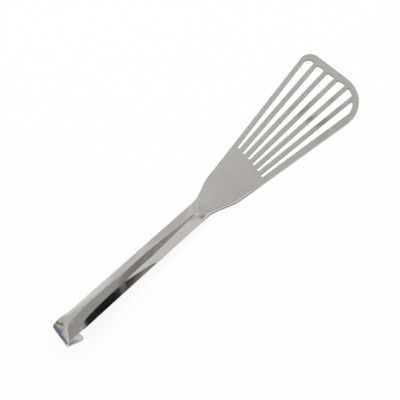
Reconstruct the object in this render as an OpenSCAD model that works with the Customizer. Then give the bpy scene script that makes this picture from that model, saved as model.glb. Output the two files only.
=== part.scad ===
// Slotted turner pressed from one sheet of stainless steel.
// The flat blade widens to the front and has a fan of six slots. Behind it the
// sheet narrows to a neck, rises into a ridged handle with both flanks folded
// down, and ends in a hook that is folded back under the handle.

/* [Sheet] */
// Thickness of the steel sheet
sheet_t = 1.5; // [1.0:0.1:2.2]
// Length of the whole turner from the hook to the front edge
overall_l = 329; // [300:1:360]

/* [Blade] */
// Length of the flat blade, from the front edge to where the sheet starts to rise
blade_l = 122; // [116:1:134]
// Width of the blade at its front edge, measured before the corners are rounded
blade_w = 76; // [74:1:86]
// Angle of each side edge to the centre line
flare_angle = 8.3; // [6:0.1:9.5]
// Angle by which the front edge leans back towards the side of the wide corner
front_lean = 1.3; // [0:0.1:4]
// Radius of the tight front corner
tight_corner_r = 9; // [5:0.5:14]
// Radius of the wide front corner
wide_corner_r = 30; // [20:1:34]

/* [Slots] */
// Number of slots
slot_count = 6; // [4:1:6]
// Distance between the centre lines of neighbouring slots at the front edge
slot_pitch = 11.35; // [10:0.05:11.8]
// Angle by which the fan of slots is turned towards the tight corner
slot_turn_angle = 0.35; // [-0.4:0.05:0.6]
// Distance from the front edge back to the point where the slots' centre lines meet
slot_apex_d = 250; // [235:1:270]
// Width of the steel left between the front edge and the slots
front_rim = 6.5; // [4:0.5:9]
// Length of flat blade left behind the inner end of the first slot
slot_web = 12; // [10:1:32]
// Shift of each next slot's inner end towards the neck
slot_step = 1.5; // [0:0.1:1.8]
// Width of a slot at its inner end
slot_inner_w = 2.3; // [1.6:0.1:3]
// Width of a slot at its front end
slot_front_w = 7.4; // [5:0.1:8]
// Radius of the corners at the front end of a slot
slot_corner_r = 1.8; // [0.8:0.1:2.2]

/* [Neck] */
// Length over which the side edges keep their flare behind the flat blade
shoulder_start = 24; // [15:1:30]
// Length of the curved shoulder down to the neck
shoulder_l = 28; // [22:1:40]
// Width of the neck, where the handle starts
neck_w = 17.4; // [14:0.2:20]

/* [Handle] */
// Width of the handle at the hook, seen from above
handle_w = 19; // [16:0.2:22]
// Angle at which the handle's lower edges rise from the blade
rise_angle = 4.6; // [2:0.1:6]
// Length over which the sheet bends up to that angle
rise_bend_l = 40; // [25:1:60]
// Height of the ridge above the lower edges of the flanks
ridge_h = 10.8; // [6:0.1:12]
// Distance behind the flat blade at which the ridge starts to grow
ridge_start = 46; // [36:1:56]
// Length over which the ridge grows to its full height
ridge_run = 101; // [80:1:110]
// Length at the ridge's start over which its flat top narrows to the crest
crest_l = 14; // [8:1:30]
// Width of the ridge's top faces, as a share of the strip's half width
top_width_share = 0.58; // [0.4:0.02:0.7]
// Height of the ridge's top faces, as a share of its whole height
top_height_share = 0.48; // [0.3:0.02:0.55]
// Part of its full height by which the ridge sinks again before the hook
ridge_sink = 0.85; // [0.5:0.01:0.9]
// Length over which it sinks
ridge_drop_l = 62; // [45:1:75]
// Length at the hook over which the flanks open out flat
flank_fade_l = 15; // [10:1:24]

/* [Hook] */
// Outer radius of the fold at the end of the handle
fold_r = 4; // [3:0.1:6]
// Angle of the hook's tail below the horizontal
tail_angle = 40; // [35:1:55]
// Angle by which the fold runs out of square across the handle
fold_skew = 13; // [0:1:18]
// Width of the hook's tail at its tip
tail_w = 20; // [14:0.5:21]
// Radius of the tail's corners
tail_corner_r = 3.5; // [2:0.5:6]

/* [Hidden] */

// Angle between neighbouring points of a round corner
arc_step = 7.5;
// Segments across the formed sheet, which are narrower near the crest by the given power,
// and the length of one segment along the handle
across = 20;
crest_power = 1.3;
section_step = 2.5;
// Segments round each half of the fold, along the tail and round its corners
fold_n = 5;
tail_n = 3;
tip_n = 5;
// Share of the ridge that is left where the sheet folds
fade_rest = 0.25;
// Share of a slot's inner width that rounds each of its two inner corners
inner_round = 0.42;
// Step over which the slope of the handle is taken
probe = 0.5;
// How quickly the ridge rises at its start, as the power of its curve
ridge_swell = 0.55;
// Softness of the creases along the ridge, and how much softer they are for each millimetre
// of flat top beside them
crease_r = 0.3;
crease_grow = 0.28;
// Share of the top faces' full width, and of the ridge's height, that they have at its start
top_start = 0.18;
top_start_height = 0.9;

// Half width of the blade at a distance behind its front edge
function edge_y(d) = blade_w / 2 - d * tan(flare_angle);
// Place and half width where the blade and the neck meet, on a fine binary grid, so that
// the corner points of the two are the same to the last digit
seam_grid = 1024;
seam_x = -round(blade_l * seam_grid) / seam_grid;
seam_w = round(edge_y(blade_l) * seam_grid) / seam_grid;

// Place of the front edge at a distance from the centre line
lean = tan(front_lean);
function front_x(y) = -(blade_w / 2 - y) * lean;

// Smooth step from 0 to 1, and a cubic with a given slope at its start and none at its end
function clamp01(u) = min(1, max(0, u));
function smooth(u) = let (v = clamp01(u)) v * v * (3 - 2 * v);
function ease(u, y0, slope, y1) = let (v = clamp01(u))
    (2*v*v*v - 3*v*v + 1) * y0 + (v*v*v - 2*v*v + v) * slope + (3*v*v - 2*v*v*v) * y1;

// The blade's and the slots' outlines are convex polygons whose corners are rounded with arcs
function unit(v) = v / norm(v);
function half_corner(a, b, c) = acos(unit(a - b) * unit(c - b)) / 2;
// Centre of the arc that rounds corner b with radius r
function corner_centre(a, b, c, r) =
    b + unit(unit(a - b) + unit(c - b)) * r / sin(half_corner(a, b, c));
// Points of that arc, from the edge before the corner to the edge after it, clockwise
function corner_arc(a, b, c, r) =
    let (m = corner_centre(a, b, c, r),
         turn = 180 - 2 * half_corner(a, b, c),
         first = b + unit(a - b) * r / tan(half_corner(a, b, c)) - m,
         start = atan2(first[1], first[0]),
         n = ceil(turn / arc_step))
    [for (i = [0:n]) m + r * ray(start - turn * i / n)];
function ray(a) = [cos(a), sin(a)];

// Corners of the blade before they are rounded, and the centres of its two front radii
tight_corner = [front_x(blade_w / 2), blade_w / 2];
wide_corner = [front_x(-blade_w / 2), -edge_y(-front_x(-blade_w / 2))];
rear_left = [seam_x, seam_w];
rear_right = [seam_x, -seam_w];
wide_centre = corner_centre(tight_corner, wide_corner, rear_right, wide_corner_r);
tight_centre = corner_centre(rear_left, tight_corner, wide_corner, tight_corner_r);
// Foremost point of the blade
front_reach = tight_centre[0] + tight_corner_r;

// Flat outline of the blade: its rear corners stay sharp, where the neck goes on
module blade_outline() {
    polygon(concat(
        [rear_left],
        corner_arc(rear_left, tight_corner, wide_corner, tight_corner_r),
        corner_arc(tight_corner, wide_corner, rear_right, wide_corner_r),
        [rear_right]));
}

// The slots' centre lines fan out from one point on the centre line behind the blade
slot_apex = [-slot_apex_d, 0];
slot_pitch_angle = atan(slot_pitch / slot_apex_d);
// Distance from the front edge to the inner end of the first slot
slot_reach = blade_l - slot_web;
// Distance along a ray to the inside of the front rim, straight or round the wide corner
function rim_hit(a) =
    let (d = ray(a),
         straight = (slot_apex_d - front_rim + front_x(0)) / (d[0] - lean * d[1]),
         p = slot_apex + straight * d,
         m = (wide_centre - slot_apex) * d,
         q = (wide_centre - slot_apex) * (wide_centre - slot_apex)
             - pow(wide_corner_r - front_rim, 2))
    p[1] < wide_centre[1] ? m + sqrt(max(0, m * m - q)) : straight;

function slot_angle(i) = slot_turn_angle + ((slot_count - 1) / 2 - i) * slot_pitch_angle;
function slot_inner_x(i) = slot_apex_d - slot_reach - i * slot_step;

// One slot: a wedge whose sides open to the front, cut off by the front rim
module slot(i) {
    a = slot_angle(i);
    inner = slot_inner_x(i);
    outer = slot_apex_d - front_rim;
    // angle between the slot's centre line and its front corners, seen from the fan's apex
    half_open = atan(slot_front_w / 2 / outer);
    base = slot_apex + inner * ray(a);
    side = slot_inner_w / 2 * [-sin(a), cos(a)];
    left = slot_apex + rim_hit(a + half_open) * ray(a + half_open);
    right = slot_apex + rim_hit(a - half_open) * ray(a - half_open);
    inner_r = slot_inner_w * inner_round;
    polygon(concat(
        corner_arc(base - side, base + side, left, inner_r),
        corner_arc(base + side, left, right, slot_corner_r),
        corner_arc(left, right, base - side, slot_corner_r),
        corner_arc(right, base - side, base + side, inner_r)));
}

// Flat blade with its slots
module blade() {
    linear_extrude(sheet_t)
        difference() {
            blade_outline();
            for (i = [0:slot_count - 1]) slot(i);
        }
}

// Neck, handle and hook are one formed strip, drawn through sections across the sheet.
// Along the neck and the handle, s is the distance behind the flat blade.
neck_s = shoulder_start + shoulder_l;
shoulder_w0 = edge_y(blade_l + shoulder_start);

// The hook's nose lies at the far end of the whole turner
skew = tan(fold_skew);
nose_x = front_reach - overall_l + handle_w / 2 * skew;
ridge_drop = ridge_h * ridge_sink;
end_a = atan(4 * ridge_drop / ridge_drop_l - tan(rise_angle));
fold_end = 180 - tail_angle;
end_s = seam_x - nose_x - fold_r * (1 - sin(end_a));

// Half width of the strip
function strip_w(s) =
    s <= 0 ? seam_w
    : s < shoulder_start ? edge_y(blade_l + s)
    : s < neck_s ? ease((s - shoulder_start) / shoulder_l, shoulder_w0,
                        -tan(flare_angle) * shoulder_l, neck_w / 2)
    : neck_w / 2 + (handle_w - neck_w) / 2 * (s - neck_s) / (end_s - neck_s);

// Height of the flanks' lower edges above the blade, and of the ridge above them
function rise(s) = tan(rise_angle) * (s < rise_bend_l ? s * s / (2 * rise_bend_l) : s - rise_bend_l / 2);
function ridge(s) = ridge_h * pow(smooth((s - ridge_start) / ridge_run), ridge_swell)
    - ridge_drop * pow(clamp01((s - end_s + ridge_drop_l) / ridge_drop_l), 4);
function fade(s) = 1 - (1 - fade_rest) * smooth((s - end_s + flank_fade_l) / flank_fade_l);
function crown_z(s) = sheet_t + rise(s) + ridge(s);

// Half width of the ridge's flat top, and the width of the top face beside it
function flat_w(s) = strip_w(s) * (1 - smooth((s - ridge_start) / crest_l));
function top_w(s) = strip_w(s) * top_width_share * max(top_start, clamp01((s - ridge_start) / ridge_run));
// Height of the top face, as a share of the ridge's height
function top_h(s) = top_start_height
    + (top_height_share - top_start_height) * pow(clamp01((s - ridge_start) / ridge_run), ridge_swell);

// A station is [x, z of the crown, direction, half width, ridge, flat top, top face's width,
// skew share, top face's share of the height].
// Direction 0 runs straight back, 90 runs down, 180 runs forward again.
function crown_dir(s) = s <= 0 ? 0
    : s >= end_s ? end_a
    : -atan((crown_z(min(end_s, s + probe)) - crown_z(s - probe)) / (min(end_s, s + probe) - s + probe));
// The way out of the sheet's outer face for a direction
function out(a) = [-sin(a), cos(a)];

// Neck and handle, from the flat blade to the fold
handle_n = ceil(end_s / section_step);
handle_stations = [for (i = [0:handle_n])
    let (s = end_s * i / handle_n)
    [seam_x - s, crown_z(s), crown_dir(s), strip_w(s), ridge(s) * fade(s), flat_w(s), top_w(s),
     smooth((s - end_s + flank_fade_l) / flank_fade_l), top_h(s)]];

// The fold runs round its centre, and the ridge ends at its foremost line, where it points down
fold_c = [seam_x - end_s, crown_z(end_s)] - fold_r * out(end_a);
tail_p = fold_c + fold_r * out(fold_end);
nose_a = 90;
fold_angles = concat(
    [for (i = [1:fold_n]) end_a + (nose_a - end_a) * i / fold_n],
    [for (i = [1:fold_n]) nose_a + (fold_end - nose_a) * i / fold_n]);
fold_stations = [for (a = fold_angles)
    let (p = fold_c + fold_r * out(a), left = max(0, (nose_a - a) / (nose_a - end_a)))
    [p[0], p[1], a, handle_w / 2, ridge(end_s) * fade_rest * left, 0, top_w(end_s), 1, top_h(end_s)]];

// The tail runs down until its tip stands on the ground
tail_l = tail_p[1] / sin(tail_angle);
tail_d = [cos(tail_angle), -sin(tail_angle)];
tail_straight = tail_l - tail_corner_r;
function tail_station(t, w) =
    let (p = tail_p + t * tail_d)
    [p[0], p[1], fold_end, w, 0, 0, top_w(end_s), 1 - t / tail_l, top_h(end_s)];
function tail_half(t) = handle_w / 2 + (tail_w - handle_w) / 2 * t / tail_l;
tail_stations = concat(
    [for (i = [1:tail_n]) let (t = tail_straight * i / tail_n) tail_station(t, tail_half(t))],
    [for (i = [1:tip_n])
        let (b = 90 * i / tip_n, t = tail_straight + tail_corner_r * sin(b))
        tail_station(t, tail_half(t) - tail_corner_r * (1 - cos(b)))]);

stations = concat(handle_stations, fold_stations, tail_stations);

// Drop of a face that starts at a crease, at a distance from the centre line, and its slope
function soft(y, r) = sqrt(y * y + r * r);
function bend(y, crease, r) = (soft(y - crease, r) + soft(y + crease, r)) / 2 - soft(crease, r);
function bend_slope(y, crease, r) =
    ((y - crease) / soft(y - crease, r) + (y + crease) / soft(y + crease, r)) / 2;

// One ring of points round the sheet at a station: along its outer face, then back along
// its inner face, which lies one sheet thickness inside. The outer face drops from the flat
// top over the top face to a crease, and from there with its own slope to the edge.
function ring(st) =
    let (o = [st[0], st[1]], n = out(st[2]), w = st[3], h = st[4], flat = st[5],
         crease = flat + st[6],
         r = crease_r + crease_grow * flat,
         steep = st[8] * h / st[6],
         more = (h - steep * bend(w, flat, r)) / bend(w, crease, r),
         row = [for (j = [0:across])
             let (v = 1 - 2 * j / across) w * sign(v) * pow(abs(v), crest_power)])
    concat(
        [for (y = row)
            sheet_point(o, n, y, -steep * bend(y, flat, r) - more * bend(y, crease, r), st[7])],
        [for (j = [across:-1:0])
            let (y = row[j],
                 off = -steep * bend(y, flat, r) - more * bend(y, crease, r),
                 m = -steep * bend_slope(y, flat, r) - more * bend_slope(y, crease, r),
                 k = sheet_t / sqrt(1 + m * m))
            sheet_point(o, n, y + m * k, off - k, st[7])]);

function sheet_point(o, n, y, off, sk) =
    [o[0] + n[0] * off + y * skew * sk, y, o[1] + n[1] * off];

// Neck, handle and hook
module strip() {
    k = 2 * (across + 1);
    last = len(stations) - 1;
    polyhedron(
        [for (st = stations) each ring(st)],
        concat(
            cap(0, false),
            [for (i = [0:last - 1], j = [0:k - 1], half = [0:1])
                let (a = i * k + j, b = a + k, d = i * k + (j + 1) % k, c = d + k,
                     // the triangles of the right side are cut the other way, along its crease
                     right = j >= across / 2 && j <= across * 3 / 2)
                right ? (half == 0 ? [a, d, b] : [d, c, b]) : (half == 0 ? [a, c, b] : [a, d, c])],
            cap(last * k, true)));
}

// Faces that close the strip at one end, from its outer to its inner edge
function cap(first, forward) =
    let (k = 2 * (across + 1))
    [for (j = [0:across - 1], half = [0:1])
        let (a = first + j, b = first + k - 1 - j,
             tri = half == 0 ? [a, a + 1, b] : [a + 1, b - 1, b])
        forward ? tri : [tri[2], tri[1], tri[0]]];

// The origin lies on the ground, under the middle of the turner's box
box_top_y = tight_centre[1] + tight_corner_r;
box_low_y = wide_centre[1] - wide_corner_r;

module spatula() {
    color("#b9b8b4")
        translate([overall_l / 2 - front_reach, -(box_top_y + box_low_y) / 2, 0])
            union() {
                blade();
                strip();
            }
}

spatula();
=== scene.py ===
# %% [markdown]
# # A slotted turner pressed from one sheet of steel
#
# The object is a kitchen turner: a flat blade with a fan of drain slots, a narrow neck, a
# handle with a ridge pressed along it, and an end folded back into a hook. It is one piece
# of stainless steel, so the whole lesson is about two things: drawing one sheet of metal
# that changes its section all the way along, and giving steel something to reflect.
#
# We first load the measured model. It stays as the reference for place and size, and the
# finer sheet that we build takes its place.

# %% Load the measured model
import math

import bpy
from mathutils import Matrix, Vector
from mathutils.geometry import delaunay_2d_cdt


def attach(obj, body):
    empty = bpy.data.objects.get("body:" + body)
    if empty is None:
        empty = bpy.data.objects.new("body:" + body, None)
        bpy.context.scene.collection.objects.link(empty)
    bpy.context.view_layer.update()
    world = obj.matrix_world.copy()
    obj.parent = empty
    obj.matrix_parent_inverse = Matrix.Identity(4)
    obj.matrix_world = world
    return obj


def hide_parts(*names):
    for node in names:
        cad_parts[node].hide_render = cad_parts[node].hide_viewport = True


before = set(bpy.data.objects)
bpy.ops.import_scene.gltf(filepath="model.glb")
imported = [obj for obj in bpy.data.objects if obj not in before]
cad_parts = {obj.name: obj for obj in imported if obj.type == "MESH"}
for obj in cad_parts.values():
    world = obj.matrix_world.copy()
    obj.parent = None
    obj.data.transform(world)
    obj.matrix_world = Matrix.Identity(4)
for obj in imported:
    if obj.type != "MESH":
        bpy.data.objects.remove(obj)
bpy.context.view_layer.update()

# %% [markdown]
# ## Sizes
#
# All sizes are those of the real piece in millimetres, the same as in the measured model, and
# each step starts with the ones it needs. The drawing is made with the origin at the front
# edge of the blade, and two shifts move it onto the model's own origin at the end.

# %% Sizes of the sheet and the blade
SHEET = 1.5
LENGTH = 329
BLADE_L, BLADE_W = 122, 76
FLARE, LEAN = math.radians(8.3), math.tan(math.radians(1.3))
TIGHT_R, WIDE_R = 9, 30
print("sheet", SHEET, "mm, overall", LENGTH, "mm, blade", BLADE_L, "x", BLADE_W, "mm")

# %% [markdown]
# ## Flat outlines
#
# The blade and its slots are cut by straight lines with round corners. Each outline is kept
# as a list of points with the way out of the material at each one, so the same outline can
# be drawn a little larger or smaller. That is how the rounded edge of the sheet is made: a
# few copies of the outline, each moved outwards and down a little.

# %% Points of an outline with round corners
def corner(a, b, c, r, steps):
    """Points round corner b of the path a-b-c, as (arc's centre, direction, radius)."""
    a, b, c = Vector(a), Vector(b), Vector(c)
    to_a, to_c = (a - b).normalized(), (c - b).normalized()
    half = math.acos(max(-1.0, min(1.0, to_a.dot(to_c)))) / 2
    centre = b + (to_a + to_c).normalized() * r / math.sin(half)
    first = b + to_a * r / math.tan(half) - centre
    start = math.atan2(first.y, first.x)
    turn = math.pi - 2 * half
    return [(centre, start - turn * i / steps, r) for i in range(steps + 1)]


def drawn(points, grow):
    """The outline's points, moved away from their arcs' centres by grow."""
    return [centre + (r + grow) * Vector((math.cos(a), math.sin(a))) for centre, a, r in points]


def edge_y(d):
    """Half width of the blade at a distance behind its front edge."""
    return BLADE_W / 2 - d * math.tan(FLARE)


TIGHT_STEPS, WIDE_STEPS = 24, 48
right_front_x = -BLADE_W * LEAN
tight_corner = (0, BLADE_W / 2)
wide_corner = (right_front_x, -edge_y(-right_front_x))
rear_left, rear_right = (-BLADE_L, edge_y(BLADE_L)), (-BLADE_L, -edge_y(BLADE_L))
tight_arc = corner(rear_left, tight_corner, wide_corner, TIGHT_R, TIGHT_STEPS)
wide_arc = corner(tight_corner, wide_corner, rear_right, WIDE_R, WIDE_STEPS)
tight_centre, wide_centre = tight_arc[0][0], wide_arc[0][0]
front_reach = tight_centre.x + TIGHT_R
shift_x = LENGTH / 2 - front_reach
shift_y = -(tight_centre.y + TIGHT_R + wide_centre.y - WIDE_R) / 2
print("shift of the drawing, mm:", round(shift_x, 2), round(shift_y, 2))

# %% [markdown]
# ## The fan of slots
#
# The centre lines of the slots meet at one point behind the blade. Each slot opens towards
# the front, and its front end stops a fixed rim short of the front edge, or of the wide
# corner's arc where it runs into that. Two kinds of end are drawn closer to the real ones
# than the measured model has them: those on the arc, and the outer one by the tight corner.

# %% Where the slots end
SLOTS, SLOT_PITCH, SLOT_TURN = 6, 11.35, 0.35
SLOT_APEX, SLOT_REACH, SLOT_STEP = 250, 110, 1.5
FRONT_RIM, ARC_RIM = 6.5, 5.0
ARC_MARGIN, EDGE_MARGIN = 1, 2
apex = Vector((-SLOT_APEX, 0))


def ray(angle):
    return Vector((math.cos(angle), math.sin(angle)))


def rim_hit(angle):
    """Distance from the fan's point to the rim along a ray, and whether the rim is curved."""
    d = ray(angle)
    straight = (SLOT_APEX - FRONT_RIM - BLADE_W / 2 * LEAN) / (d.x - LEAN * d.y)
    to_arc = wide_centre - apex
    along = to_arc.dot(d)
    square = along ** 2 - to_arc.length_squared + (WIDE_R - ARC_RIM) ** 2
    reach = along + math.sqrt(max(0.0, square))
    past_front = (apex + reach * d).y < wide_centre.y - ARC_MARGIN
    if past_front and reach < straight + EDGE_MARGIN:
        return reach, True
    return straight, False


print("from the fan's point to the rim, mm:", round(rim_hit(0.0)[0], 1))

# %% Outlines of the slots
SLOT_INNER_W, SLOT_FRONT_W = 2.3, 7.4
SLOT_INNER_R, SLOT_FRONT_R, OUTER_FRONT_R, ARC_TIP_R = 0.97, 1.8, 4.6, 1.0
INNER_STEPS, FRONT_STEPS, ARC_STEPS = 10, 12, 10
half_open = math.atan(SLOT_FRONT_W / 2 / (SLOT_APEX - FRONT_RIM))
slots = []
for i in range(SLOTS):
    angle = math.radians(SLOT_TURN) + ((SLOTS - 1) / 2 - i) * math.atan(SLOT_PITCH / SLOT_APEX)
    base = apex + (SLOT_APEX - SLOT_REACH - i * SLOT_STEP) * ray(angle)
    side = SLOT_INNER_W / 2 * Vector((-math.sin(angle), math.cos(angle)))
    (left_at, left_on), (right_at, right_on) = (rim_hit(angle + a) for a in (half_open, -half_open))
    left = apex + left_at * ray(angle + half_open)
    right = apex + right_at * ray(angle - half_open)
    end, before, after = [], left, right
    left_r = SLOT_FRONT_R if i else OUTER_FRONT_R
    if left_on and right_on:
        # the end follows the wide corner's arc between two points near its own corners
        first, last = left - wide_centre, right - wide_centre
        a, b = math.atan2(first.y, first.x), math.atan2(last.y, last.x)
        end = [(wide_centre, a + (b - a) * k / ARC_STEPS, WIDE_R - ARC_RIM) for k in range(3, 9)]
        after, before = drawn(end[:1], 0)[0], drawn(end[-1:], 0)[0]
        left_r = ARC_TIP_R
    slots.append(
        corner(base - side, base + side, left, SLOT_INNER_R, INNER_STEPS)
        + corner(base + side, left, after, left_r, FRONT_STEPS)
        + end
        + corner(before, right, base - side, SLOT_FRONT_R, FRONT_STEPS)
        + corner(right, base - side, base + side, SLOT_INNER_R, INNER_STEPS)
    )
print("slots:", len(slots), "with", sum(map(len, slots)), "points")

# %% [markdown]
# ## The formed strip
#
# Behind the blade the sheet is pressed. On the real piece one press tool narrows it to a
# neck, lifts it, folds its flanks down from a ridge and folds the end back into a hook. We
# describe it by stations along its middle: where the ridge's top line is, which way it runs,
# how wide the strip is, how far its flanks hang down and where its creases are. At the neck
# the ridge starts with a flat top as wide as the strip. Within 14 mm that top narrows to a
# crest, and beside it a top face grows wider towards the hook, with a soft crease between it
# and the flank below. Smooth functions of the distance along the strip give all of these, so
# no cross-section is drawn by hand and the sheet keeps one thickness everywhere.

# %% Helpers for a smooth change
def clamp01(u):
    return min(1.0, max(0.0, u))


def smooth(u):
    u = clamp01(u)
    return u * u * (3 - 2 * u)


def ease(u, start, slope, end):
    """From start, where it has a slope, to end, where it is level."""
    u = clamp01(u)
    return ((2 * u ** 3 - 3 * u ** 2 + 1) * start + (u ** 3 - 2 * u ** 2 + u) * slope
            + (3 * u ** 2 - 2 * u ** 3) * end)


print("a quarter of the way through a smooth change:", round(smooth(0.25), 3))

# %% Half width and top line of the strip
SHOULDER_AT, SHOULDER_L, NECK_W, HANDLE_W = 24, 28, 17.4, 19
RISE, RISE_BEND = math.tan(math.radians(4.6)), 40
RIDGE_H, RIDGE_AT, RIDGE_RUN, RIDGE_SWELL = 10.8, 46, 101, 0.55
RIDGE_DROP, RIDGE_DROP_L = 0.85 * RIDGE_H, 62
FOLD_R, SKEW = 4, math.tan(math.radians(13))
SLOPE_REACH = 0.5
nose_x = front_reach - LENGTH + HANDLE_W / 2 * SKEW
end_dir = math.atan(4 * RIDGE_DROP / RIDGE_DROP_L - RISE)
end_s = -nose_x - FOLD_R * (1 - math.sin(end_dir)) - BLADE_L
neck_s = SHOULDER_AT + SHOULDER_L


def strip_w(s):
    if s < SHOULDER_AT:
        return edge_y(BLADE_L + s)
    if s < neck_s:
        return ease((s - SHOULDER_AT) / SHOULDER_L, edge_y(BLADE_L + SHOULDER_AT),
                    -math.tan(FLARE) * SHOULDER_L, NECK_W / 2)
    return NECK_W / 2 + (HANDLE_W - NECK_W) / 2 * (s - neck_s) / (end_s - neck_s)


def rise(s):
    return RISE * (s * s / (2 * RISE_BEND) if s < RISE_BEND else s - RISE_BEND / 2)


def ridge(s):
    return (RIDGE_H * smooth((s - RIDGE_AT) / RIDGE_RUN) ** RIDGE_SWELL
            - RIDGE_DROP * clamp01((s - end_s + RIDGE_DROP_L) / RIDGE_DROP_L) ** 4)


def crown_z(s):
    return SHEET + rise(s) + ridge(s)


def crown_dir(s):
    """How steeply the top line falls towards the hook, as an angle."""
    if s <= 0:
        return 0.0
    if s >= end_s:
        return end_dir
    a, b = max(0.0, s - SLOPE_REACH), min(end_s, s + SLOPE_REACH)
    return -math.atan((crown_z(b) - crown_z(a)) / (b - a))


print("strip, mm:", round(end_s, 1), "highest ridge:", round(max(map(ridge, range(150))), 1))

# %% Flat top, top faces and the opened end
CREST_L, FLANK_FADE = 14, 15
TOP_WIDTH, TOP_WIDTH_START = 0.58, 0.18
TOP_HEIGHT, TOP_HEIGHT_START = 0.48, 0.9


def flat_w(s):
    return strip_w(s) * (1 - smooth((s - RIDGE_AT) / CREST_L))


def top_w(s):
    return strip_w(s) * TOP_WIDTH * max(TOP_WIDTH_START, clamp01((s - RIDGE_AT) / RIDGE_RUN))


def top_h(s):
    grown = clamp01((s - RIDGE_AT) / RIDGE_RUN) ** RIDGE_SWELL
    return TOP_HEIGHT_START + (TOP_HEIGHT - TOP_HEIGHT_START) * grown


def opened(s):
    return smooth((s - end_s + FLANK_FADE) / FLANK_FADE)


print("top faces, mm:", [round(top_w(s), 1) for s in (60, 100, 150)], "at 60, 100 and 150 mm")

# %% [markdown]
# ## Stations
#
# A station gathers what the strip looks like at one place. The first ones follow the handle,
# the next go round the fold, which a real press bends over a rod, and the last ones are the
# flat tail with its rounded corners. The fold isn't square to the strip: its skew shifts each
# point a little along the strip, the more, the farther out it is. Two fine forms that the
# measured model leaves out are added: the flank's lowest part turns down once more over the
# rear half of the handle, and the edge beside the neck is rolled off on one side.

# %% Stations from the blade to the fold
STRIP_STEPS, FOLD_STEPS = 226, 22
TAIL_ANGLE, FADE_REST = math.radians(40), 0.25
TURN_AT, TURN_L, TURN_SLOPE, TURN_EASE, TURN_EARLY = 108, 33, 1.0, 14, 0.3
LIP_RISE_L, LIP_FADE_AT, LIP_FADE_L = 14, 50, 16


def out(direction):
    return Vector((-math.sin(direction), math.cos(direction)))


def station(place, direction, s, half_w, drop, skew, inset=0.0):
    return dict(place=Vector(place), n=out(direction), w=half_w, h=drop, flat=flat_w(s),
                top=top_w(s), share=top_h(s), turned=clamp01((s - TURN_AT) / TURN_L),
                turn=TURN_SLOPE * smooth((s - TURN_AT) / TURN_EASE + TURN_EARLY),
                lip=smooth(s / LIP_RISE_L) * (1 - smooth((s - LIP_FADE_AT) / LIP_FADE_L)),
                skew=skew, inset=inset)


stations = []
for i in range(STRIP_STEPS + 1):
    s = end_s * i / STRIP_STEPS
    drop = ridge(s) * (1 - (1 - FADE_REST) * opened(s))
    place = (-BLADE_L - s, crown_z(s))
    stations.append(station(place, crown_dir(s), s, strip_w(s), drop, opened(s)))
fold_centre = Vector((-BLADE_L - end_s, crown_z(end_s))) - FOLD_R * out(end_dir)
fold_end = math.pi - TAIL_ANGLE
for first, last in ((end_dir, math.pi / 2), (math.pi / 2, fold_end)):
    for i in range(1, FOLD_STEPS + 1):
        a = first + (last - first) * i / FOLD_STEPS
        left_over = max(0.0, (math.pi / 2 - a) / (math.pi / 2 - end_dir))
        stations.append(station(fold_centre + FOLD_R * out(a), a, end_s, HANDLE_W / 2,
                                ridge(end_s) * FADE_REST * left_over, 1.0))
print("strip and fold:", len(stations), "stations")

# %% Stations on the tail
TAIL_W, TAIL_CORNER_R = 20, 3.5
TAIL_STEPS, CORNER_STEPS, TIP_STEPS = 8, 12, 5
# Stamped edges are tumbled until a fingertip can run along them: about a third of a
# millimetre of round on each side of the sheet.
EDGE_R = 0.32
tail_start = fold_centre + FOLD_R * out(fold_end)
tail_l = tail_start.y / math.sin(TAIL_ANGLE)
tail_way = Vector((math.cos(TAIL_ANGLE), -math.sin(TAIL_ANGLE)))
tail_straight = tail_l - TAIL_CORNER_R


def tail_station(t, inset=0.0):
    """A station on the flat tail, narrower where its corners are rounded and at its edge."""
    half = HANDLE_W / 2 + (TAIL_W - HANDLE_W) / 2 * t / tail_l
    into = clamp01((t - tail_straight) / TAIL_CORNER_R)
    half -= TAIL_CORNER_R * (1 - math.sqrt(1 - into * into))
    return station(tail_start + t * tail_way, fold_end, end_s, half, 0.0, 1 - t / tail_l, inset)


for i in range(1, TAIL_STEPS + 1):
    stations.append(tail_station(tail_straight * i / TAIL_STEPS))
for i in range(1, CORNER_STEPS + 1):
    t = TAIL_CORNER_R * math.sin(math.pi / 2 * i / CORNER_STEPS)
    if t < TAIL_CORNER_R - EDGE_R:
        stations.append(tail_station(tail_straight + t))
for i in range(TIP_STEPS + 1):
    b = math.pi / 2 * i / TIP_STEPS
    t = tail_l - EDGE_R + EDGE_R * math.sin(b)
    stations.append(tail_station(t, EDGE_R * (1 - math.cos(b))))
print("tail, mm:", round(tail_l, 1), "and in all", len(stations), "stations")

# %% [markdown]
# ## One ring round the sheet
#
# A ring goes along the outer face, round the rounded right edge, back along the inner face
# and round the left edge. The inner face lies one sheet thickness inside the outer one,
# measured square to the curve, which is what bending a real sheet does. Each crease adds a
# slope that starts softly at its place, and the slope of the flank is what is left of the
# ridge's height, so the edge always hangs where the station says. The two faces beside the
# crest are arched a little, which spreads what they reflect.

# %% Profile of the edge and soft bends
ROUND = 4
edge_profile = [(EDGE_R * (1 - math.sin(b)), EDGE_R * (1 - math.cos(b)))
                for b in [math.pi / 2 * i / ROUND for i in range(ROUND + 1)]]
# each entry is (distance in from the edge, distance down from the outer face)
profile = edge_profile + [(d, SHEET - down) for d, down in reversed(edge_profile)]


def bend(y, crease, r):
    """Drop, per unit of slope, of a face that starts at a soft crease on both sides."""
    return (math.hypot(y - crease, r) + math.hypot(y + crease, r)) / 2 - math.hypot(crease, r)


def bend_slope(y, crease, r):
    return ((y - crease) / math.hypot(y - crease, r) + (y + crease) / math.hypot(y + crease, r)) / 2


print("edge profile:", len(profile), "points from the outer to the inner face")

# %% Ring of points at a station
ACROSS, CREST_POWER = 52, 1.3
CREASE_R, CREASE_GROW = 0.3, 0.28
ARCHED, ARCH_R, ARCH_GAIN = 0.16, 3.0, 1.2
LIP_W, LIP_H = 2.1, 1.15


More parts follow.
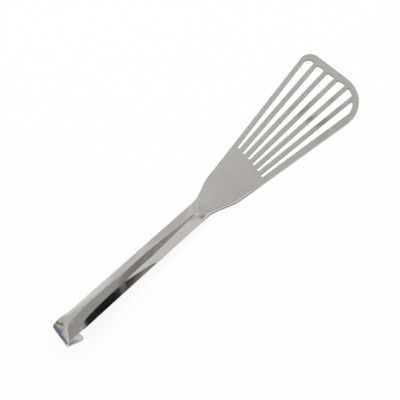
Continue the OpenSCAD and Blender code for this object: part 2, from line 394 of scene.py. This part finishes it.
def ring(st):
    """Points round the sheet at a station: outer face, right edge, inner face, left edge."""
    w, h, flat, inset = st["w"], st["h"], st["flat"], st["inset"]
    scale = (EDGE_R - inset) / EDGE_R
    crease, r = flat + st["top"], CREASE_R + CREASE_GROW * flat
    turn_y = w + (crease - w) * st["turned"]
    turn = st["turn"] * min(1.0, h)
    steep = st["share"] * h / st["top"]
    creases = [(steep * (1 - ARCHED), flat, r), (steep * ARCHED * ARCH_GAIN, flat, ARCH_R),
               (turn, turn_y, r)]
    hanging = sum(change * bend(w, at, soft) for change, at, soft in creases)
    creases.append(((h - hanging) / bend(w, crease, r), crease, r))

    def face(y, down):
        m = -sum(change * bend_slope(y, at, soft) for change, at, soft in creases)
        k = down / math.sqrt(1 + m * m)
        return y + m * k, -sum(change * bend(y, at, soft) for change, at, soft in creases) - k

    def place(y, off):
        q = st["place"] + st["n"] * off
        return Vector((q.x + y * SKEW * st["skew"] + shift_x, y + shift_y, q.y)) * 0.001

    slope = sum(change * bend_slope(w, at, soft) for change, at, soft in creases)
    run = math.sqrt(1 + slope * slope)
    wide, deeper = (1 + st["lip"] * (size / EDGE_R - 1) for size in (LIP_W, LIP_H))
    last, right_last = (w - EDGE_R * scale * k / run for k in (1, wide))
    shares = [1 - 2 * j / ACROSS for j in range(ACROSS + 1)]
    steps = [(last if v > 0 else right_last) * math.copysign(abs(v) ** CREST_POWER, v)
             for v in shares]
    points = [place(*face(y, inset)) for y in steps]
    for side in (-1, 1):
        tip_y, tip_off = side * w, -h
        along, down = Vector((side, -slope)) / run, Vector((-side * slope, -1)) / run
        rounded = []
        for d, depth in profile[1:-1]:
            inner = depth > SHEET / 2
            rolled = side < 0 and not inner
            d, depth = (d * wide, depth * deeper) if rolled else (d, depth)
            deep = SHEET - inset - (SHEET - depth) * scale if inner else inset + depth * scale
            q = Vector((tip_y, tip_off)) - along * d * scale + down * deep
            rounded.append(place(q.x, q.y))
        if side < 0:
            points += rounded + [place(*face(y, SHEET - inset)) for y in reversed(steps)]
        else:
            points += list(reversed(rounded))
    return points


RING = 2 * (ACROSS + 1) + 2 * (len(profile) - 2)
print("a ring has", RING, "points")

# %% Skin between the rings
vertices, faces = [], []
for st in stations:
    vertices += ring(st)
for i in range(len(stations) - 1):
    for j in range(RING):
        k = (j + 1) % RING
        faces.append((i * RING + j, i * RING + k, (i + 1) * RING + k, (i + 1) * RING + j))
# the flat end of the tail is closed by a row of small faces
tip = (len(stations) - 1) * RING
inner_first = ACROSS + 1 + len(profile) - 2
for j in range(ACROSS):
    below = tip + inner_first + ACROSS - j
    faces.append((tip + j, tip + j + 1, below - 1, below))
right_row = [tip + ACROSS + i for i in range(len(profile))]
left_row = [tip] + [tip + RING - 1 - i for i in range(len(profile) - 2)]
left_row.append(tip + inner_first + ACROSS)
faces += [tuple(right_row), tuple(reversed(left_row))]
print("strip mesh:", len(vertices), "points,", len(faces), "faces")

# %% [markdown]
# ## The blade
#
# The blade's outline starts and ends on the first ring of the strip, so blade and neck are
# one continuous skin. Its rounded edge follows the same profile as the strip's edge. The
# flat faces between the outline and the slots are filled with triangles.

# %% Rounded edges of the blade and its slots
def add(points, depth):
    """Adds points at a depth below the blade's upper face and gives their numbers."""
    first = len(vertices)
    vertices.extend(Vector((p.x + shift_x, p.y + shift_y, SHEET - depth)) * 0.001 for p in points)
    return list(range(first, first + len(points)))


def join(rows, closed):
    for a, b in zip(rows[:-1], rows[1:]):
        n = len(a)
        for j in range(n if closed else n - 1):
            k = (j + 1) % n
            faces.append((a[j], a[k], b[k], b[j]))


left_ids = [0] + [RING - 1 - i for i in range(len(profile) - 2)] + [inner_first + ACROSS]
right_ids = [ACROSS + i for i in range(len(profile))]
rim_rows = []
for i, (d, depth) in enumerate(profile):
    rim_rows.append([left_ids[i]] + add(drawn(tight_arc + wide_arc, -d), depth) + [right_ids[i]])
join(rim_rows, False)
slot_rows = []
for outline in slots:
    rows = [add(drawn(outline, d), depth) for d, depth in profile]
    join(rows, True)
    slot_rows.append(rows)
print("edge rows:", len(rim_rows), "round the blade,", sum(map(len, slot_rows)), "round the slots")

# %% Flat faces of the blade
def fill(loops):
    """Fills the flat region inside the first loop and outside the others with triangles."""
    ids = [i for loop in loops for i in loop]
    owner = [k for k, loop in enumerate(loops) for _ in loop]
    flat = [vertices[i].xy * 1000 for i in ids]
    edges, start = [], 0
    for loop in loops:
        n = len(loop)
        edges += [(start + j, start + (j + 1) % n) for j in range(n)]
        start += n
    _, _, tris, origin, _, _ = delaunay_2d_cdt(flat, edges, [], 1, 1e-6)
    made = 0
    for tri in tris:
        corners = [origin[v][0] for v in tri]
        # a slot is convex, so only a triangle inside it has all its corners on it
        if owner[corners[0]] and len({owner[c] for c in corners}) == 1:
            continue
        faces.append(tuple(ids[c] for c in corners))
        made += 1
    return made


top = rim_rows[0] + list(range(ACROSS - 1, 0, -1))
bottom = rim_rows[-1] + list(range(inner_first + 1, inner_first + ACROSS))
print("flat faces:", fill([top] + [rows[0] for rows in slot_rows]),
      fill([bottom] + [rows[-1] for rows in slot_rows]))

# %% [markdown]
# ## One mesh, shaded smooth
#
# All faces go into one mesh. The weighted normals let the large flat faces keep their own
# direction right up to the rounded edges, so the blade shades flat and only the narrow
# rounds catch the light, as on real sheet metal.

# %% The turner's mesh
import bmesh

mesh = bpy.data.meshes.new("turner_sheet")
mesh.from_pydata([tuple(v) for v in vertices], [], faces)
rounded = {i * RING + j for i in range(len(stations)) for j in range(RING)
           if ACROSS < j < inner_first or j > inner_first + ACROSS}
for rows in [rim_rows] + slot_rows:
    rounded.update(v for row in rows[1:-1] for v in row)
# slot walls and the wall under the rolled edge get painted shade, the rounded edges a painted
# highlight; both also change the roughness
walls = {v for rows in slot_rows for row in rows[ROUND:ROUND + 2] for v in row}
rough_and_shaded = [float(i in walls) for i in range(len(vertices))]
for i, st in enumerate(stations):
    for k, share in ((ROUND - 1, 0.5), (ROUND, 1.0), (ROUND + 1, 1.0)):
        rough_and_shaded[i * RING + ACROSS + k] = share * st["lip"]
punched_and_shaded = mesh.attributes.new("punched_and_shaded", "FLOAT", "POINT")
punched_and_shaded.data.foreach_set("value", rough_and_shaded)
rubbed_and_highlight = mesh.attributes.new("rubbed_and_highlight", "FLOAT", "POINT")
rubbed_and_highlight.data.foreach_set("value", [float(i in rounded) for i in range(len(vertices))])
bm = bmesh.new()
bm.from_mesh(mesh)
bmesh.ops.recalc_face_normals(bm, faces=bm.faces)
loose = [e for e in bm.edges if not e.is_manifold]
bm.to_mesh(mesh)
bm.free()
mesh.shade_smooth()
turner = bpy.data.objects.new("turner_sheet", mesh)
bpy.context.collection.objects.link(turner)
weighted = turner.modifiers.new("weighted_normals", "WEIGHTED_NORMAL")
weighted.mode = "FACE_AREA"
weighted.weight = 50
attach(turner, "root")
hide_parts("spatula")
print("open edges:", len(loose), "faces:", len(mesh.polygons))

# %% [markdown]
# ## Stainless steel
#
# Turners like this are stainless chromium-nickel steel. Steel reflects about half of the
# light, slightly warm. A metal keeps the default IOR, because its colour says how much it
# reflects.

# %% Colour and node helpers
def srgb(hex_colour):
    """An sRGB hex colour as the linear colour that the shader takes."""
    values = [int(hex_colour[i:i + 2], 16) / 255 for i in (1, 3, 5)]
    linear = [v / 12.92 if v <= 0.04045 else ((v + 0.055) / 1.055) ** 2.4 for v in values]
    return (*linear, 1.0)


def node(tree, kind, settings=None, inputs=None):
    """Adds a node, sets its properties and sets or links its inputs."""
    made = tree.nodes.new(kind)
    for name, value in (settings or {}).items():
        setattr(made, name, value)
    for name, value in (inputs or {}).items():
        if isinstance(value, bpy.types.NodeSocket):
            tree.links.new(value, made.inputs[name])
        else:
            made.inputs[name].default_value = value
    return made


print("steel's grey, linear:", [round(v, 3) for v in srgb("#c3c0bb")[:3]])

# %% [markdown]
# ## Satin blade, polished handle
#
# The blade keeps the satin skin of the rolled and tumbled sheet: it blurs what it reflects
# into one even grey. The handle is polished, so its facets show sharp bright and dark
# fields. Both are the same steel, so one material goes from one finish to the other round
# the neck. The rounded edges are rubbed bright by use. The walls of the slots are torn, not
# cut, by the punch, so they stay dull and dark, and so does the wall under the rolled edge
# beside the neck, which no polishing wheel reaches.

# %% Where each finish lies
POLISH_STARTS, POLISH_FULL = 0.020, -0.030
steel = bpy.data.materials.new("stainless_steel_satin_blade_polished_handle")
steel.use_nodes = True
tree = steel.node_tree
tree.nodes.clear()
where = node(tree, "ShaderNodeTexCoord").outputs["Object"]
split = node(tree, "ShaderNodeSeparateXYZ", inputs={"Vector": where})
polish = node(tree, "ShaderNodeMapRange", {"interpolation_type": "SMOOTHSTEP"},
              {"Value": split.outputs["X"], "From Min": POLISH_STARTS,
               "From Max": POLISH_FULL}).outputs["Result"]
# rounded edges: lower roughness, and a lighter colour that is a painted highlight
edge = node(tree, "ShaderNodeAttribute", {"attribute_name": "rubbed_and_highlight"}).outputs["Fac"]
# slot walls and the wall under the rolled edge: higher roughness, and a dark colour that is painted
# shade
torn_and_shaded = node(tree, "ShaderNodeAttribute", {"attribute_name": "punched_and_shaded"}).outputs["Fac"]
print("polish, from the middle in mm:", 1000 * POLISH_STARTS, "to", 1000 * POLISH_FULL)

# %% [markdown]
# ## Grain, mottle, smudges and painted shade on the tines
#
# Four patterns of noise. Three stand for what steel picks up: rolling leaves a grain along the
# strip, tumbling leaves a mottle of tiny pits and hands leave smudges. The fourth is painted
# shade: darker patches on the tines near the middle of the fan.

# %% Patterns on the steel
# Name, size in millimetres along and across the strip, detail, and the values of the noise
# that become 0 and 1. Rolled grain is really a tenth of a millimetre apart and a tumbled pit
# half a millimetre wide. Both would vanish in the render, so they are drawn 0.8 and 1.2 mm
# wide. A smudge is as wide as a fingertip, and a patch of painted shade somewhat smaller.
patterns = {}
for name, length, width, detail, low, high in (("grain", 25, 0.8, 3.0, 0.3, 0.7),
                                               ("mottle", 1.2, 1.2, 2.0, 0.3, 0.7),
                                               ("smudge", 18.2, 18.2, 2.0, 0.35, 0.7),
                                               ("tine_shade_patches", 13.3, 13.3, 2.0, 0.38, 0.66)):
    per_metre = (1000 / length, 1000 / width, 1000 / width)
    drawn_out = node(tree, "ShaderNodeMapping", inputs={"Vector": where, "Scale": per_metre})
    noise = node(tree, "ShaderNodeTexNoise",
                 inputs={"Vector": drawn_out.outputs["Vector"], "Scale": 1.0, "Detail": detail})
    patterns[name] = node(tree, "ShaderNodeMapRange", {"interpolation_type": "SMOOTHSTEP"},
                          {"Value": noise.outputs["Fac"], "From Min": low,
                           "From Max": high}).outputs["Result"]
grain, mottle, smudge = (patterns[name] for name in ("grain", "mottle", "smudge"))
print("patterns:", ", ".join(patterns))

# %% Where the painted shade on the tines lies
# painted shade: a darker colour in patches round a point among the tines
TINE_SHADE_AT, TINE_SHADE_OUTER, TINE_SHADE_INNER, TINE_SHADE_MOST = (0.120, -0.010, 0.0015), 0.034, 0.006, 0.75
away = node(tree, "ShaderNodeVectorMath", {"operation": "DISTANCE"}, {0: where, 1: TINE_SHADE_AT})
near = node(tree, "ShaderNodeMapRange", {"interpolation_type": "SMOOTHSTEP"},
            {"Value": away.outputs["Value"], "From Min": TINE_SHADE_OUTER, "From Max": TINE_SHADE_INNER,
             "To Max": TINE_SHADE_MOST})
painted_tine_shade = node(tree, "ShaderNodeMath", {"operation": "MULTIPLY"},
            {0: near.outputs["Result"], 1: patterns["tine_shade_patches"]}).outputs[0]
print("the film ends", 1000 * TINE_SHADE_OUTER, "mm from the middle of the fan")

# %% [markdown]
# ## The steel's colour
#
# The patterns change the colour only a little, one after the other, from the clean skin to
# the painted shade on the tines. The last two steps lie on top: a painted highlight on the
# rounded edges and painted shade on the slot walls.

# %% Colour, from the clean skin to the painted shade on the slot walls
colour = srgb("#c3c0bb")
# 8d8a84 is painted shade on the tines, #cac7c2 a painted highlight on the edges and #45423f painted
# shade on the walls
for share, tint in ((smudge, "#bcb9b3"), (grain, "#bdbab4"), (painted_tine_shade, "#8d8a84"),
                    (edge, "#cac7c2"), (torn_and_shaded, "#45423f")):
    colour = node(tree, "ShaderNodeMix", {"data_type": "RGBA"},
                  {0: share, 6: colour, 7: srgb(tint)}).outputs[2]
print("colour steps: smudges, grain, film, rubbed edges, torn walls")

# %% [markdown]
# ## Gloss and relief
#
# Satin steel has a roughness of about 0.3 to 0.4, polished steel of about 0.1 to 0.15, and
# both vary with the same patterns, so that the gloss breaks up where the colour does. The
# relief is a hundredth of a millimetre and almost gone on the handle.

# %% Roughness, relief and the shader
finish = {}
for name, share, plain, marked in (("satin", mottle, 0.31, 0.37),
                                   ("shiny", smudge, 0.11, 0.16)):
    finish[name] = node(tree, "ShaderNodeMapRange", {},
                        {"Value": share, "To Min": plain, "To Max": marked}).outputs["Result"]
gloss = finish["satin"]
for share, value in ((polish, finish["shiny"]), (edge, 0.2), (torn_and_shaded, 0.5)):
    gloss = node(tree, "ShaderNodeMix", {"data_type": "FLOAT"},
                 {0: share, 2: gloss, 3: value}).outputs[0]
pits = node(tree, "ShaderNodeMix", {"data_type": "FLOAT"},
            {0: 0.5, 2: grain, 3: mottle}).outputs[0]
depth = node(tree, "ShaderNodeMapRange", {}, {"Value": polish, "To Min": 0.25, "To Max": 0.04})
bump = node(tree, "ShaderNodeBump",
            inputs={"Strength": depth.outputs["Result"], "Distance": 0.00001, "Height": pits})
shader = node(tree, "ShaderNodeBsdfPrincipled",
              inputs={"Base Color": colour, "Metallic": 1.0, "Roughness": gloss,
                      "Normal": bump.outputs["Normal"]})
node(tree, "ShaderNodeOutputMaterial", inputs={"Surface": shader.outputs["BSDF"]})
mesh.materials.append(steel)
print("material:", steel.name, "with", len(tree.nodes), "nodes")

# %% [markdown]
# ## The camera
#
# The photograph looks down at sixty degrees from the hook's side, from about four lengths
# of the turner away.

# %% Camera
camera = bpy.data.objects.new("camera", bpy.data.cameras.new("camera"))
bpy.context.collection.objects.link(camera)
bpy.context.scene.camera = camera
camera.data.sensor_width = 36
camera.data.lens = 138.26
aim = Vector((-0.00134, 0.00585, 0))
camera.location = (-0.44505, -0.39804, 1.03923)
camera.rotation_mode = "QUATERNION"
camera.rotation_quaternion = (aim - camera.location).to_track_quat("-Z", "Y")
camera.data.clip_end = 50
print("camera distance, m:", round((camera.location - aim).length, 3))

# %% [markdown]
# ## Studio
#
# The turner lies on white paper in a bright room. The room and one soft lamp light it at a
# plain level, so that a colour comes out as it is written. The paper and the room also show
# a plain white to the camera and to the metal, and enough of the paper's own light is left
# for the soft shadow in the slots and beside the handle.

# %% White paper
def seen(tree, share):
    """How much of the plain white is shown to the camera, to metal and to glass."""
    path = node(tree, "ShaderNodeLightPath")
    rays = path.outputs["Is Camera Ray"]
    for name in ("Is Glossy Ray", "Is Transmission Ray"):
        rays = node(tree, "ShaderNodeMath", {"operation": "MAXIMUM"},
                    {0: rays, 1: path.outputs[name]}).outputs[0]
    return node(tree, "ShaderNodeMath", {"operation": "MULTIPLY"}, {0: rays, 1: share}).outputs[0]


scene = bpy.context.scene
scene.view_settings.view_transform = "Standard"
floor_mesh = bpy.data.meshes.new("paper")
floor_mesh.from_pydata([(-6, -6, 0), (6, -6, 0), (6, 6, 0), (-6, 6, 0)], [], [(0, 1, 2, 3)])
floor = bpy.data.objects.new("paper", floor_mesh)
bpy.context.collection.objects.link(floor)
paper = bpy.data.materials.new("white_paper")
paper.use_nodes = True
sheet = paper.node_tree
sheet.nodes.clear()
matt = node(sheet, "ShaderNodeBsdfDiffuse", inputs={"Color": srgb("#f9f9f9")})
plain = node(sheet, "ShaderNodeEmission", inputs={"Color": (1, 1, 1, 1), "Strength": 1.0})
both = node(sheet, "ShaderNodeMixShader",
            inputs={0: seen(sheet, 0.85), 1: matt.outputs[0], 2: plain.outputs[0]})
node(sheet, "ShaderNodeOutputMaterial", inputs={"Surface": both.outputs[0]})
floor_mesh.materials.append(paper)
print("paper:", paper.name)

# %% Room and lamp
world = bpy.data.worlds.new("bright_room")
scene.world = world
world.use_nodes = True
room = world.node_tree
room.nodes.clear()
level = node(room, "ShaderNodeMapRange",
             inputs={"Value": seen(room, 1.0), "To Min": 0.93, "To Max": 1.0})
light = node(room, "ShaderNodeBackground",
             inputs={"Color": (1, 1, 1, 1), "Strength": level.outputs[0]})
node(room, "ShaderNodeOutputWorld", inputs={"Surface": light.outputs[0]})

lamp = bpy.data.objects.new("softbox", bpy.data.lights.new("softbox", "AREA"))
bpy.context.collection.objects.link(lamp)
lamp.data.size = 1.2
lamp.data.energy = 4
lamp.visible_glossy = False
lamp.location = (0.3, 0.6, 1.6)
lamp.rotation_mode = "QUATERNION"
lamp.rotation_quaternion = (Vector((0, 0, 0)) - lamp.location).to_track_quat("-Z", "Y")
print("lamp, W:", lamp.data.energy)

# %% [markdown]
# ## Cards for the steel to reflect
#
# Polished steel has no look of its own: it shows the room. In a plain white room the handle
# would vanish, so a photographer stands grey and black cards round it, each placed where one
# facet of the handle looks. A card is a patch of a dome, given by the directions in which the
# handle sees it. Where such a direction points down, the card lies on the paper. Only
# reflections see the cards, and their rims fade out.

# %% A card as a patch of a dome
CARD_STEPS, EYE_H = 28, 0.012


def card(name, colour, azimuths, elevations, seen_from, fade, reach=1.0, lift=0.001):
    """A card between two azimuths and two elevations in degrees, as seen from two places.

    The places are along the handle, for the first and the last azimuth. The fade is how many
    degrees of each rim fade out, the reach is the dome's radius, and the lift is how high
    above the paper the lowest part lies, in metres.
    """
    points, cover, steps = [], [], CARD_STEPS
    for i in range(steps + 1):
        for j in range(steps + 1):
            u, v = i / steps, j / steps
            az = math.radians(azimuths[0] + (azimuths[1] - azimuths[0]) * u)
            el = math.radians(elevations[0] + (elevations[1] - elevations[0]) * v)
            eye = Vector((seen_from[0] + (seen_from[1] - seen_from[0]) * u, 0, EYE_H))
            way = Vector((math.cos(el) * math.cos(az), math.cos(el) * math.sin(az), math.sin(el)))
            on_paper = eye.z + way.z * reach < lift
            points.append(eye + way * ((lift - eye.z) / way.z if on_paper else reach))
            rims = [smooth(min(q, 1 - q) * abs(span[1] - span[0]) / soft) if soft else 1.0
                    for q, span, soft in ((u, azimuths, fade[0]), (v, elevations, fade[1]))]
            cover.append(rims[0] * rims[1])
    quads = [(a, a + 1, a + steps + 2, a + steps + 1) for i in range(steps) for j in range(steps)
             for a in [i * (steps + 1) + j]]
    made = bpy.data.meshes.new(name)
    made.from_pydata([tuple(p) for p in points], [], quads)
    made.attributes.new("cover", "FLOAT", "POINT").data.foreach_set("value", cover)
    obj = bpy.data.objects.new(name, made)
    bpy.context.collection.objects.link(obj)
    obj.visible_camera = obj.visible_diffuse = obj.visible_shadow = False
    obj.visible_transmission = obj.visible_volume_scatter = False
    cloth = bpy.data.materials.new(name + "_cloth")
    cloth.use_nodes = True
    inner = cloth.node_tree
    inner.nodes.clear()
    shown = node(inner, "ShaderNodeEmission", inputs={"Color": srgb(colour), "Strength": 1.0})
    clear = node(inner, "ShaderNodeBsdfTransparent")
    fading = node(inner, "ShaderNodeAttribute", {"attribute_name": "cover"})
    mixed = node(inner, "ShaderNodeMixShader",
                 inputs={0: fading.outputs["Fac"], 1: clear.outputs[0], 2: shown.outputs[0]})
    node(inner, "ShaderNodeOutputMaterial", inputs={"Surface": mixed.outputs[0]})
    made.materials.append(cloth)


print("a card has", CARD_STEPS ** 2, "faces")

# %% Grey, black and bluish cards
card("crest_card", "#989898", (-70, -34), (-40, 22), (-0.12, -0.06), (13, 4), reach=0.95)
card("front_card", "#c6c6c6", (-66, -49), (-40, 17), (-0.10, -0.02), (4, 4))
card("side_card", "#c2c2c2", (-104, -58), (-40, 38), (-0.14, -0.10), (4, 4), reach=1.05)
card("rear_card", "#6e6e6e", (-140, -84), (-10, 58), (-0.15, -0.13), (5, 5), reach=0.9)
card("black_card", "#1e1d1f", (-110, -65), (-30, 16), (-0.14, -0.10), (3, 4), 0.6, 0.002)
card("flank_card", "#908a8c", (-72, -59), (-30, 9), (-0.12, -0.10), (3, 4), 0.62, 0.003)
card("black_near_card", "#1e1d1f", (-78, -62), (-30, 9), (-0.118, -0.118), (2.5, 3), 0.3, 0.004)
card("neck_card", "#8c8c8c", (10, 28), (46, 70), (-0.015, -0.015), (3, 3))
card("scoop_card", "#c0c0c0", (-112, -36), (22, 68), (-0.15, -0.15), (5, 5), reach=0.13)
card("ceiling_card", "#bcbcbc", (0, 180), (62, 118), (-0.08, -0.08), (0, 8), reach=1.1)
card("left_card", "#e9e9e9", (34, 115), (-60, 50), (-0.15, -0.03), (8, 8), reach=0.9)
card("blade_card", "#dedede", (10, 60), (36, 74), (0.13, 0.13), (12, 12), reach=0.35)
card("hook_card", "#8c8fa6", (114, 141), (-50, 43), (-0.16, -0.16), (3, 2))
card("hook_side_card", "#8c8fa6", (137, 158), (-50, 34), (-0.16, -0.16), (3, 2), reach=1.1)
card("hook_blue_card", "#dedff2", (120, 156), (33, 58), (-0.16, -0.16), (4, 3), reach=1.2)
card("hook_warm_card", "#857a76", (86, 120), (43, 57), (-0.16, -0.16), (3, 2))
